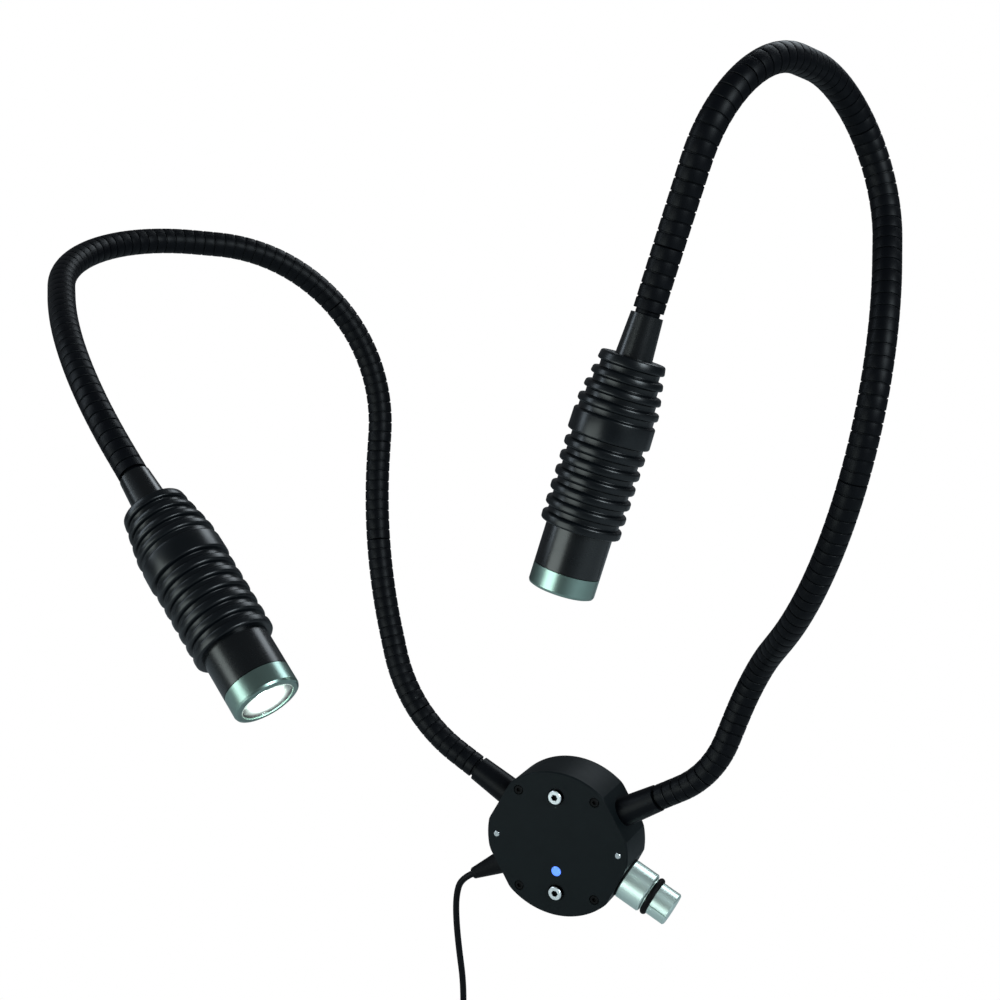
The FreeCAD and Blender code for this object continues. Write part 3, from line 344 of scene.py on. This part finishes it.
def hose(name, pitch, first, last, line, total):
    """A run of turns, from one groove to another, bent along the neck's centre line."""
    obj = hose_turn(pitch)
    obj.name = name
    array = obj.modifiers.new("turns", "ARRAY")
    array.count = last - first
    array.use_relative_offset = False
    array.use_constant_offset = True
    array.constant_offset_displace = (pitch * MM, 0, 0)
    array.use_merge_vertices = True
    array.merge_threshold = WELD
    bpy.ops.object.modifier_apply(modifier="turns")
    obj.location.x = (first + 0.5) * pitch * MM
    bpy.ops.object.transform_apply(location=True)
    edit()
    low = END_GAP * MM
    high = (total - END_GAP) * MM
    bpy.ops.mesh.bisect(plane_co=(low, 0, 0), plane_no=(1, 0, 0), clear_inner=True, threshold=CUT)
    bpy.ops.mesh.select_all(action="SELECT")
    bpy.ops.mesh.bisect(plane_co=(high, 0, 0), plane_no=(1, 0, 0), clear_outer=True, threshold=CUT)
    start = max(first * pitch * MM, low)
    end = min(last * pitch * MM, high)
    for level in (start, end):
        pick(obj, "edges", lambda co: abs(co.x - level) < PICK)
        bpy.ops.mesh.edge_face_add()
    close_up()
    if end == high:
        add_ball(obj, total)
    bend = obj.modifiers.new("bend", "CURVE")
    bend.object = line
    bend.deform_axis = "POS_X"
    bpy.ops.object.modifier_apply(modifier="bend")
    bpy.ops.object.shade_smooth_by_angle(angle=math.radians(NECK_SMOOTH))
    return obj


def add_ball(obj, total):
    """Joins the ball that the lamp head turns on to the end of the last run."""
    clear_selection()
    bpy.ops.mesh.primitive_uv_sphere_add(
        segments=NECK_SIDES, ring_count=NECK_SIDES // 2, radius=BALL_RADIUS * MM,
        location=(total * MM, 0, 0), rotation=(0, math.pi / 2, 0),
    )
    ball = bpy.context.object
    bpy.ops.object.transform_apply(location=True, rotation=True)
    edit()
    nose = (total + BALL_NOSE) * MM
    bpy.ops.mesh.bisect(
        plane_co=(nose, 0, 0), plane_no=(1, 0, 0), clear_outer=True, use_fill=True, threshold=CUT,
    )
    bpy.ops.object.mode_set(mode="OBJECT")
    obj.select_set(True)
    ball.select_set(True)
    bpy.context.view_layer.objects.active = obj
    bpy.ops.object.join()


def make_neck(side, material):
    """The hose in runs that meet halfway along the stretches, so that each one bends across a hinge."""
    rows = walk(side)
    line, total = neck_line(side)
    turns = round(total / TURN_PITCH)
    pitch = total / turns
    middles = []
    travelled = 0
    for row in rows:
        middles.append(round((travelled + row["length"] / 2) / pitch))
        travelled += row["length"]
    cuts = [0] + middles + [turns]
    for k in range(len(cuts) - 1):
        obj = hose("%s_hose_%d" % (side, k), pitch, cuts[k], cuts[k + 1], line, total)
        obj.data.materials.clear()
        obj.data.materials.append(material)
        here = "%s_neck_%d" % (side, max(k, 1))
        if 0 < k < len(rows):
            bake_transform(obj)
        else:
            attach(obj, here)
        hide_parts(here)
    bpy.data.objects.remove(line)


# Grips, in millimetres and degrees. GRIP_TOP and GRIP_END lie along the head, and the other heights are from
# the grip's top. A groove's mouth and floor are half widths, and UPPER_LIP is where its rims' radii are taken
GRIP_TOP = 18.0
GRIP_END = 88.6
GRIP_SIDES = 128
GRIP_SMOOTH = 32
ROUNDING_STEPS = 4
BORE_RADIUS = 7.5
TOP_RADIUS = 13.0
SHOULDER_RADIUS = 16.5
SHOULDER_HEIGHT = 19.4
BAND_START_RADIUS = 16.6
BAND_END_RADIUS = 16.75
BAND_END = 33.2
RIB_RADIUS = 16.4
RIM_RADIUS = 16.3
SEAT_RADIUS = 12.65
SEAT_HEIGHT = 22
UPPER_GROOVES = 4
UPPER_FIRST = 5.3
UPPER_PITCH = 5.85
UPPER_DEEP = 1.9
UPPER_LIP = 1.5
UPPER_MOUTH = 1.55
UPPER_FLOOR = 1.15
UPPER_ROUND = 0.75
LOWER_GROOVES = 5
LOWER_FIRST = 41.2
LOWER_PITCH = 6.1
LOWER_MOUTH = 1.5
LOWER_FLOOR = 1.1
LOWER_ROUND = 0.85
FLOOR_RADIUS = 14.6
FLOOR_ROUND = 0.3
BAND_ROUND = 0.7
BAND_WALL = 0.4
BAND_FLOOR = 2.5
RIM_ROUND = 0.9
SEAT_ROUND = 0.2


def groove(middle, before, floor, after, mouth, bottom, rounding):
    """The four corners of a groove: the radii before it, in it and after it, about its middle."""
    return [
        (before, middle - mouth, rounding), (floor, middle - bottom, FLOOR_ROUND),
        (floor, middle + bottom, FLOOR_ROUND), (after, middle + mouth, rounding),
    ]


def grip_outline():
    """Bore, ribs and grooves of a grip, as corners of a radius, a height and a rounding."""
    slope = (SHOULDER_RADIUS - TOP_RADIUS) / SHOULDER_HEIGHT
    rows = [(BORE_RADIUS, GRIP_TOP, FLOOR_ROUND), (TOP_RADIUS, GRIP_TOP, RIM_ROUND)]
    for k in range(UPPER_GROOVES):
        middle = UPPER_FIRST + UPPER_PITCH * k
        before = min(TOP_RADIUS + slope * (middle - UPPER_LIP), SHOULDER_RADIUS)
        after = min(TOP_RADIUS + slope * (middle + UPPER_LIP), BAND_START_RADIUS)
        floor = TOP_RADIUS + slope * middle - UPPER_DEEP
        rows += groove(GRIP_TOP + middle, before, floor, after, UPPER_MOUTH, UPPER_FLOOR, UPPER_ROUND)
    foot = GRIP_TOP + BAND_END + BAND_WALL
    rows += [
        (BAND_END_RADIUS, GRIP_TOP + BAND_END, BAND_ROUND),
        (FLOOR_RADIUS, foot, FLOOR_ROUND),
        (FLOOR_RADIUS, foot + BAND_FLOOR, FLOOR_ROUND),
        (RIB_RADIUS, foot + BAND_FLOOR + BAND_WALL, LOWER_ROUND),
    ]
    for k in range(LOWER_GROOVES):
        middle = GRIP_TOP + (LOWER_FIRST + LOWER_PITCH * k)
        rows += groove(middle, RIB_RADIUS, FLOOR_RADIUS, RIB_RADIUS, LOWER_MOUTH, LOWER_FLOOR, LOWER_ROUND)
    seat = GRIP_TOP + SEAT_HEIGHT
    rows += [(RIM_RADIUS, GRIP_END, RIM_ROUND), (SEAT_RADIUS, GRIP_END, SEAT_ROUND)]
    return rows + [(SEAT_RADIUS, seat), (BORE_RADIUS, seat)]


def lathe(name, outline, place, segments):
    """Turns a closed half outline of radius, height and corner rounding about the piece's own Z axis."""
    clear_selection()
    bpy.ops.mesh.primitive_plane_add(size=MM, location=(0, 0, 0))
    obj = bpy.context.object
    obj.name = name
    edit()
    bpy.ops.mesh.merge(type="CENTER")
    corners = [(Vector((corner[0], 0, corner[1])) * MM, corner[2:]) for corner in outline]
    here = corners[0][0]
    bpy.ops.transform.translate(value=here)
    for there, _ in corners[1:] + corners[:1]:
        bpy.ops.mesh.extrude_region_move(TRANSFORM_OT_translate={"value": there - here})
        here = there
    bpy.ops.mesh.select_all(action="SELECT")
    bpy.ops.mesh.remove_doubles(threshold=CUT)
    for rounding in sorted({wanted[0] for _, wanted in corners if wanted}):
        alike = [corner for corner, wanted in corners if wanted == (rounding,)]
        pick(obj, "vertices", lambda co: any((co - corner).length < PICK for corner in alike))
        bpy.ops.mesh.bevel(
            offset=rounding * MM, segments=ROUNDING_STEPS, affect="VERTICES", clamp_overlap=True,
        )
    bpy.ops.mesh.select_all(action="SELECT")
    bpy.ops.mesh.spin(steps=segments, angle=2 * math.pi, center=(0, 0, 0), axis=(0, 0, 1))
    close_up()
    set_down(obj, place)
    bpy.ops.object.shade_smooth_by_angle(angle=math.radians(GRIP_SMOOTH))
    return obj


def make_grip(side, material):
    """The ribbed grip round a lamp head."""
    obj = lathe(side + "_ribbed_grip", grip_outline(), head_frame(side), GRIP_SIDES)
    obj.data.materials.append(material)
    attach(obj, side + "_head")
    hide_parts(side + "_grip")


# Supply lead, in millimetres and turns. Its points are given: LEAD_POINTS across and up in the frame,
# LEAD_TO_COIL on from the last of them, and LEAD_TO_PLUG taken off the point under the coil's end
LEAD_DIAMETER = 3.4
LEAD_FIRST_RUN = 8.9
LEAD_POINTS = [(-62.3, -44.0), (-62.6, -57.0), (-61.2, -74.0), (-59.0, -91.0), (-59.0, -108.0)]
LEAD_TO_COIL = [(0, -8), (-6.5, -14.4)]
LEAD_TO_PLUG = [(0, 0, 9), (-1.2, 0, 22), (-3.6, 0.5, 36), (-3.6, 0.5, 48)]
COIL_TURNS = 3
COIL_LAYERS = 4
COIL_STEP = 3.9
COIL_OUTER = 24.85
COIL_ENTRY = 11.0
COIL_CLIMB = 0.5
COIL_END = 12.25
POINTS_A_TURN = 16


def coil_point(turns):
    """A point of the winding: it spirals in and out and climbs a layer in half a turn at each reversal."""
    layer = min(int(turns // COIL_TURNS), COIL_LAYERS - 1)
    into = turns - layer * COIL_TURNS
    radius = COIL_OUTER - COIL_STEP * (into if layer % 2 == 0 else COIL_TURNS - into)
    depth = 0
    for k in range(1, COIL_LAYERS):
        climbed = (turns - k * COIL_TURNS) / COIL_CLIMB + 0.5
        depth += COIL_STEP * min(max(climbed, 0), 1)
    across, up = LEAD_POINTS[-1]
    centre = Vector((across - COIL_ENTRY, PORT_DEPTH, up - LEAD_DIAMETER - COIL_ENTRY - COIL_OUTER))
    angle = 2 * math.pi * turns
    return centre + Vector((-radius * math.sin(angle), -depth, radius * math.cos(angle)))


def lead_route():
    """From the strain relief down into the coil, round it, and down to the plug."""
    way = port_way("relief")
    start = way * (FLAT + RELIEF) + PORT_CENTRE
    points = [start, start + way * LEAD_FIRST_RUN]
    points += [Vector((across, PORT_DEPTH, up)) for across, up in LEAD_POINTS]
    last = points[-1]
    points += [last + Vector((across, 0, up)) for across, up in LEAD_TO_COIL]
    points += [coil_point(k / POINTS_A_TURN) for k in range(int(COIL_END * POINTS_A_TURN) + 1)]
    end = points[-1] - Vector((0, 0, LEAD_DIAMETER))
    points.append(end)
    points += [end - Vector(step) for step in LEAD_TO_PLUG]
    return points


def make_lead(material):
    """The whole lead as one round cord."""
    route = lead_route()
    data = bpy.data.curves.new("lead", "CURVE")
    data.dimensions = "3D"
    data.bevel_depth = LEAD_DIAMETER / 2 * MM
    data.bevel_resolution = 5
    data.resolution_u = 6
    data.use_fill_caps = True
    spline = data.splines.new("NURBS")
    spline.points.add(len(route) - 1)
    for point, place in zip(spline.points, route):
        point.co = (*(place * MM), 1)
    spline.order_u = 3
    spline.use_endpoint_u = True
    obj = bpy.data.objects.new("lead", data)
    scene.collection.objects.link(obj)
    data.materials.append(material)
    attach(obj, "housing")
    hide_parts("supply_lead", "lead_coil", "lead_tail")


# Finishes, with the sizes of their patterns in millimetres. Real grain is about 0.1 mm or finer, and is
# drawn at 0.3 to 1.2 mm so that it shows
CLOUD_DETAIL = 4.0
FINE_DETAIL = 2.0
ROUGHNESS_SPREAD = 0.06
LEAST_ROUGHNESS = 0.02
GRAIN_STRENGTH = 0.6
LINES_STRENGTH = 0.5
DULL = {"Specular IOR Level": 0.1}
SATIN = {"Specular IOR Level": 0.34}

# Turning marks are really about 0.05 mm apart, and are drawn 0.3 mm apart so that they show
TURNING_PITCH = 0.3
TURNING_HEIGHT = 0.003

# Depths in the mounting screws' sockets between which their shade comes and goes, from front to floor
SHADE_COMES = (-26.85, -26.3)
SHADE_GOES = (-24.6, -24.2)

# The lens glows between two reaches from the lamp's axis, and this is its strength at each
LENS_REACH = (2.0, 10.0)
LENS_GLOW = (2.2, 0.05)

# The solids that wear each finish, and those with one on each side
WORN = {
    "anodised": ["housing_body", "face_plate"],
    "blackened": ["cover_screws"],
    "zinc": ["mounting_screws", "board_screws"],
    "ground": ["plate_pins", "dimmer_shaft"],
    "tinted": ["indicator_lens"],
    "turned": ["dimmer_collar", "dimmer_knob"],
    "rubber": ["dimmer_gasket", "knob_ring"],
    "relief": ["strain_relief", "lead_tie", "plug_body"],
    "sheath": ["supply_lead", "lead_coil", "lead_tail"],
    "nickel": ["relief_nut", "plug_barrel"],
    "green mask": ["circuit_board"],
    "epoxy": ["board_parts", "potentiometer"],
    "white mask": ["indicator_led"],
}
WORN_IN_PAIRS = {
    "enamel": ["neck_sleeve"],
    "nickel": ["neck_nut"],
    "gloss": ["ferrule", "barrel"],
    "rubber": ["lens_seal"],
    "white mask": ["led_board"],
    "milled": ["heat_sink"],
}


def finish(name, colour, rough, metallic=0.0, grain=None, mottle=None, lines=None, **more):
    """A finish: grain is (size, height), mottle is (size, second colour), lines is (axis, pitch, height)."""
    material = bpy.data.materials.new(name)
    material.use_nodes = True
    tree = material.node_tree
    tree.nodes.clear()
    sockets = {"Base Color": linear(colour), "Roughness": rough, "Metallic": metallic}
    sockets.update(more)
    shader = add(tree, "ShaderNodeBsdfPrincipled", sockets=sockets)
    add(tree, "ShaderNodeOutputMaterial", {"Surface": shader.outputs["BSDF"]})
    place = add(tree, "ShaderNodeTexCoord").outputs["Object"]
    normal = None
    if mottle:
        sockets = {"Scale": PER_METRE / mottle[0], "Detail": CLOUD_DETAIL}
        cloud = add(tree, "ShaderNodeTexNoise", {"Vector": place}, sockets)
        mix = add(tree, "ShaderNodeMix", {"Factor": cloud.outputs["Fac"]}, data_type="RGBA")
        mix.inputs["A"].default_value = linear(colour)
        mix.inputs["B"].default_value = linear(mottle[1])
        tree.links.new(mix.outputs["Result"], shader.inputs["Base Color"])
        spread = add(tree, "ShaderNodeMapRange", {"Value": cloud.outputs["Fac"]})
        spread.inputs["To Min"].default_value = max(rough - ROUGHNESS_SPREAD, LEAST_ROUGHNESS)
        spread.inputs["To Max"].default_value = rough + ROUGHNESS_SPREAD
        tree.links.new(spread.outputs["Result"], shader.inputs["Roughness"])
    if grain:
        sockets = {"Scale": PER_METRE / grain[0], "Detail": FINE_DETAIL}
        fine = add(tree, "ShaderNodeTexNoise", {"Vector": place}, sockets)
        sockets = {"Strength": GRAIN_STRENGTH, "Distance": grain[1] * MM}
        normal = add(tree, "ShaderNodeBump", {"Height": fine.outputs["Fac"]}, sockets).outputs["Normal"]
    if lines:
        along = add(tree, "ShaderNodeVectorMath", {0: place}, operation="DOT_PRODUCT")
        along.inputs[1].default_value = tuple(lines[0])
        sockets = {"Scale": PER_METRE / lines[1], "Detail": FINE_DETAIL}
        links = {"W": along.outputs["Value"]}
        marks = add(tree, "ShaderNodeTexNoise", links, sockets, noise_dimensions="1D")
        links = {"Height": marks.outputs["Fac"]}
        if normal:
            links["Normal"] = normal
        sockets = {"Strength": LINES_STRENGTH, "Distance": lines[2] * MM}
        normal = add(tree, "ShaderNodeBump", links, sockets).outputs["Normal"]
    if normal:
        tree.links.new(normal, shader.inputs["Normal"])
    return material


def black_finishes():
    """The blacks of the housing, the necks, the heads and the lead."""
    made = {}
    # Bead blasted and dyed: an even deep black with a slight green cast and no clear reflections
    made["anodised"] = finish(
        "black anodised aluminium", "#0F1517", 0.48, grain=(0.6, 0.004), mottle=(9, "#0B1012"), **DULL,
    )
    # Turned smooth before dyeing: a deeper black that carries one long soft highlight
    made["gloss"] = finish(
        "gloss black anodised aluminium", "#05080A", 0.27, grain=(0.9, 0.002), mottle=(9, "#040608"),
    )
    # A thin baked coat on the wound hose: nearly black, with a broad faint sheen on each turn
    made["enamel"] = finish(
        "black baked enamel on steel", "#040508", 0.44, grain=(0.9, 0.002), mottle=(14, "#06080C"), **DULL,
    )
    # Moulded against polished steel: black with small bluish highlights along each rib
    made["nylon"] = finish(
        "black moulded nylon", "#04070A", 0.31, grain=(0.9, 0.002), mottle=(11, "#060A0E"), **SATIN,
    )
    # Oiled black oxide, its colour darkened further as painted shade for the holes the screws are sunk in:
    # the sunk screws read as dark discs
    made["blackened"] = finish(
        "blackened steel", "#060607", 0.5, grain=(0.6, 0.004), mottle=(4, "#040405"), **DULL,
    )
    # Moulded and matt: a soft dark band with no highlight
    made["rubber"] = finish(
        "nitrile rubber", "#060607", 0.6, grain=(0.7, 0.006), mottle=(5, "#09090A"), **DULL,
    )
    # Moulded and slightly soft: the lead's black with a duller, wider sheen
    made["relief"] = finish(
        "black moulded elastomer", "#07080A", 0.5, grain=(0.7, 0.006), mottle=(6, "#0B0C0E"), **DULL,
    )
    # Extruded: smooth with a satin line of light along the lead
    made["sheath"] = finish(
        "black PVC sheath", "#07080A", 0.42, grain=(0.8, 0.006), mottle=(8, "#0B0D10"), **DULL,
    )
    return made


def bright_finishes():
    """The bright screws, pins and knob, and the lit indicator."""
    made = {}
    # Electroplated and faintly crystalline: a bright cool metal, with painted shade in the sockets and on the
    # heads' sides
    made["zinc"] = finish(
        "zinc plated steel", "#F4F6F6", 0.3, 1.0, grain=(0.6, 0.002), mottle=(1.2, "#E2E6E7"),
    )
    paint_socket_shade(made["zinc"])
    # Ground fine: small sharp glints on the pins
    made["ground"] = finish("ground steel", "#D6D9DA", 0.2, 1.0, grain=(0.3, 0.003), mottle=(1.5, "#C9CDCE"))
    # Turned: fine marks round the axis spread the light into soft bands along the knob
    marks = (port_way("dimmer"), TURNING_PITCH, TURNING_HEIGHT)
    made["turned"] = finish("turned aluminium knob", "#E2F4EC", 0.38, 1.0, lines=marks, mottle=(5, "#D8ECE3"))
    # Moulded clear and lit from behind: an even blue all through
    glow = {"Emission Color": linear("#5C8CFF"), "Emission Strength": 0.85}
    made["tinted"] = finish(
        "blue tinted polycarbonate", "#5C88FF", 0.15, grain=(0.8, 0.003), mottle=(3, "#5580F5"), **glow,
    )
    return made


def inside_finishes():
    """What lies inside the housing and the heads, and the plug's metal."""
    made = {}
    # Screened and cured: a glossy dark green with faint clouds
    made["green mask"] = finish(
        "green solder mask", "#15462A", 0.35, grain=(0.5, 0.008), mottle=(3, "#0F3620"),
    )
    # Moulded: dull charcoal with a fine tooth
    made["epoxy"] = finish(
        "moulded epoxy", "#16171A", 0.5, grain=(0.3, 0.008), mottle=(2, "#1B1C1F"),
    )
    # Electroplated over turned brass: a warm grey metal with soft reflections
    made["nickel"] = finish(
        "nickel plated brass", "#C9C2AC", 0.3, 1.0, grain=(0.5, 0.004), mottle=(2, "#BEB7A2"),
    )
    # Screened and cured: a smooth bright white that throws the light forwards
    made["white mask"] = finish(
        "white solder mask", "#E4E7E4", 0.4, grain=(0.4, 0.004), mottle=(3, "#DADEDB"),
    )
    # Milled and left bare: a pale metal with a slightly broken sheen
    made["milled"] = finish(
        "milled aluminium", "#B4B8B8", 0.4, 1.0, grain=(0.4, 0.008), mottle=(3, "#A9AEAE"),
    )
    return made


def paint_socket_shade(material):
    """Painted shade in the mounting screws' sockets: a darker colour is mixed in between the heads' front
    faces and the sockets' floors, so the socket walls, the floors and the heads' turned sides are shaded.
    """
    tree = material.node_tree
    shader = tree.nodes["Principled BSDF"]
    plain = shader.inputs["Base Color"].links[0].from_socket
    place = add(tree, "ShaderNodeTexCoord").outputs["Object"]
    depth = add(tree, "ShaderNodeSeparateXYZ", {"Vector": place}).outputs["Y"]
    sockets = {"From Min": SHADE_COMES[0] * MM, "From Max": SHADE_COMES[1] * MM, "To Min": 0.0, "To Max": 1.0}
    below = add(tree, "ShaderNodeMapRange", {"Value": depth}, sockets)
    sockets = {"From Min": SHADE_GOES[0] * MM, "From Max": SHADE_GOES[1] * MM, "To Min": 1.0, "To Max": 0.0}
    above = add(tree, "ShaderNodeMapRange", {"Value": depth}, sockets)
    links = {0: below.outputs["Result"], 1: above.outputs["Result"]}
    both = add(tree, "ShaderNodeMath", links, operation="MULTIPLY")
    # Mixes in the painted shade's colour between the two depths
    mix = add(tree, "ShaderNodeMix", {"Factor": both.outputs["Value"]}, data_type="RGBA")
    tree.links.new(plain, mix.inputs["A"])
    mix.inputs["B"].default_value = linear("#1B1D1F")
    tree.links.new(mix.outputs["Result"], shader.inputs["Base Color"])


def lit_lens(side):
    """Clear acrylic filled with light: brightest on the lamp's axis and fading to a clear greenish rim."""
    clear = {"Transmission Weight": 1.0, "IOR": 1.49, "Emission Color": linear("#F2FFFA")}
    glass = finish("clear acrylic lens " + side, "#E4F6EE", 0.06, grain=(1.2, 0.004), **clear)
    tree = glass.node_tree
    place = add(tree, "ShaderNodeTexCoord").outputs["Object"]
    foot = add(tree, "ShaderNodeVectorMath", {0: place}, operation="SUBTRACT")
    foot.inputs[1].default_value = head_frame(side).translation
    aside = add(tree, "ShaderNodeVectorMath", {0: foot.outputs["Vector"]}, operation="CROSS_PRODUCT")
    aside.inputs[1].default_value = head_way(side)
    reach = add(tree, "ShaderNodeVectorMath", {0: aside.outputs["Vector"]}, operation="LENGTH")
    sockets = {"From Min": LENS_REACH[0] * MM, "From Max": LENS_REACH[1] * MM}
    sockets.update({"To Min": LENS_GLOW[0], "To Max": LENS_GLOW[1]})
    links = {"Value": reach.outputs["Value"]}
    glow = add(tree, "ShaderNodeMapRange", links, sockets, interpolation_type="SMOOTHSTEP")
    tree.links.new(glow.outputs["Result"], tree.nodes["Principled BSDF"].inputs["Emission Strength"])
    return glass


def dress(name, material):
    """Gives a solid its finish in place of what it wears."""
    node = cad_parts[name]
    node.data.materials.clear()
    node.data.materials.append(material)


def dress_lamp(side):
    """The bezel, the lens and the LEDs behind it."""
    # The same turning as the knob's, a little darker and sharper, with a green cast
    marks = (head_way(side), TURNING_PITCH, TURNING_HEIGHT)
    name = "turned aluminium bezel " + side
    dress(side + "_bezel", finish(name, "#8FA69E", 0.3, 1.0, lines=marks, mottle=(5, "#849C93")))
    dress(side + "_lens", lit_lens(side))
    # Phosphor under moulded silicone domes: warm white and lit
    glow = {"Emission Color": linear("#FBFFFC"), "Emission Strength": 20.0}
    chip = finish("LED " + side, "#FFFBEA", 0.3, mottle=(1.0, "#F4EFD8"), grain=(0.5, 0.002), **glow)
    dress(side + "_leds", chip)


def dress_all():
    """Every solid in its real finish. Returns the finishes by their short names."""
    finishes = {**black_finishes(), **bright_finishes(), **inside_finishes()}
    for kind, names in WORN.items():
        for name in names:
            dress(name, finishes[kind])
    for side in SIDES:
        for kind, names in WORN_IN_PAIRS.items():
            for name in names:
                dress(side + "_" + name, finishes[kind])
        dress_lamp(side)
    return finishes


# Floor, in metres
FLOOR_SIZE = 160
FLOOR_PLACE = (0, 60, -0.30)


def make_floor():
    """A wide pale studio floor, lit evenly enough to run into the white behind it."""
    clear_selection()
    bpy.ops.mesh.primitive_plane_add(size=FLOOR_SIZE, location=FLOOR_PLACE)
    floor = bpy.context.object
    floor.name = "floor"
    # Rolled on and matt: pale, with broad faint clouds where it lights the lamp, and plain white when seen
    paint = finish("pale painted floor", "#B9BEC0", 0.9, mottle=(400, "#B4B9BB"))
    tree = paint.node_tree
    lit = add(tree, "ShaderNodeEmission", sockets={"Color": linear("#FFFFFF"), "Strength": 1.0})
    path = add(tree, "ShaderNodeLightPath")
    painted = tree.nodes["Principled BSDF"]
    links = {0: path.outputs["Is Camera Ray"], 1: painted.outputs["BSDF"], 2: lit.outputs["Emission"]}
    mix = add(tree, "ShaderNodeMixShader", links)
    tree.links.new(mix.outputs["Shader"], tree.nodes["Material Output"].inputs["Surface"])
    floor.data.materials.append(paint)


set_camera()
set_lights()
finishes = dress_all()
make_lead(finishes["sheath"])
for side in SIDES:
    make_neck(side, finishes["enamel"])
    make_grip(side, finishes["nylon"])
make_floor()
